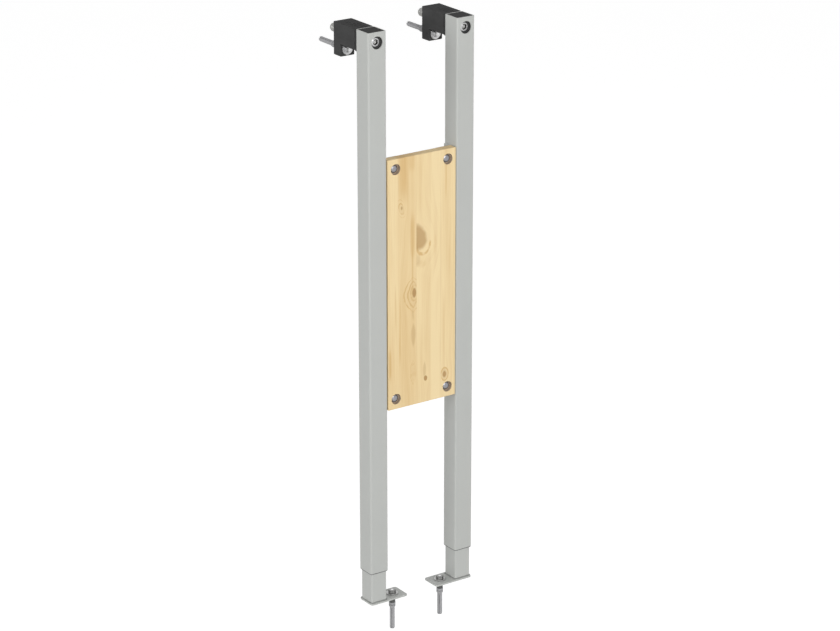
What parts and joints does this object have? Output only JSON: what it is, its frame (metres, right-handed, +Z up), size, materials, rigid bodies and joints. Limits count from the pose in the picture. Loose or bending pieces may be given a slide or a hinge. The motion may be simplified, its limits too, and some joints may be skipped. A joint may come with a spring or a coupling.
{
  "type": "pre-wall installation frame with timber fixing board",
  "caption": "Narrow powder-coated steel frame on telescopic feet, with a bolted timber fixing board and depth-adjustable wall brackets.",
  "frame": {"origin": "on the floor under the left upright's axis, on the underside of its foot plate", "axes": "+X from the left upright to the right one, +Y from the front towards the wall, +Z up"},
  "size_m": [0.237, 0.1825, 1.206],
  "materials": {
    "frame_paint": "light grey powder coat, satin",
    "black_plastic": "moulded, matt",
    "zinc_steel": "bright zinc plated",
    "bolt_steel": "zinc plated, satin",
    "pine": "planed edge-glued pine, untreated",
    "grey_plastic": "nylon, matt"
  },
  "bodies": {
    "frame": {"fixing_board": "pine", "left_upright": "frame_paint", "left_top_insert": "black_plastic", "left_depth_guide": "black_plastic", "left_depth_spindle": "zinc_steel", "left_lower_board_bolt": "bolt_steel", "left_lower_board_nut": "zinc_steel", "left_lower_board_angle": "frame_paint", "left_upper_board_bolt": "bolt_steel", "left_upper_board_nut": "zinc_steel", "left_upper_board_angle": "frame_paint", "right_upright": "frame_paint", "right_top_insert": "black_plastic", "right_depth_guide": "black_plastic", "right_depth_spindle": "zinc_steel", "right_lower_board_bolt": "bolt_steel", "right_lower_board_nut": "zinc_steel", "right_lower_board_angle": "frame_paint", "right_upper_board_bolt": "bolt_steel", "right_upper_board_nut": "zinc_steel", "right_upper_board_angle": "frame_paint"},
    "left_foot": {"left_foot_tube": "frame_paint", "left_foot_plate": "frame_paint", "left_floor_screw": "zinc_steel", "left_floor_washer": "zinc_steel", "left_floor_dowel": "grey_plastic"},
    "right_foot": {"right_foot_tube": "frame_paint", "right_foot_plate": "frame_paint", "right_floor_screw": "zinc_steel", "right_floor_washer": "zinc_steel", "right_floor_dowel": "grey_plastic"},
    "left_bracket": {"left_wall_bracket": "black_plastic", "left_wall_screw": "zinc_steel", "left_wall_washer": "zinc_steel", "left_wall_dowel": "grey_plastic"},
    "right_bracket": {"right_wall_bracket": "black_plastic", "right_wall_screw": "zinc_steel", "right_wall_washer": "zinc_steel", "right_wall_dowel": "grey_plastic"}
  },
  "joints": [
    {"name": "left_foot_slide", "type": "slide", "parent": "frame", "child": "left_foot", "axis": [0, 0, -1], "range_m": [-0.056, 0.134]},
    {"name": "right_foot_slide", "type": "slide", "parent": "frame", "child": "right_foot", "axis": [0, 0, -1], "range_m": [-0.056, 0.134]},
    {"name": "left_depth_slide", "type": "slide", "parent": "frame", "child": "left_bracket", "axis": [0, 1, 0], "range_m": [0, 0.034]},
    {"name": "right_depth_slide", "type": "slide", "parent": "frame", "child": "right_bracket", "axis": [0, 1, 0], "range_m": [0, 0.034]}
  ]
}
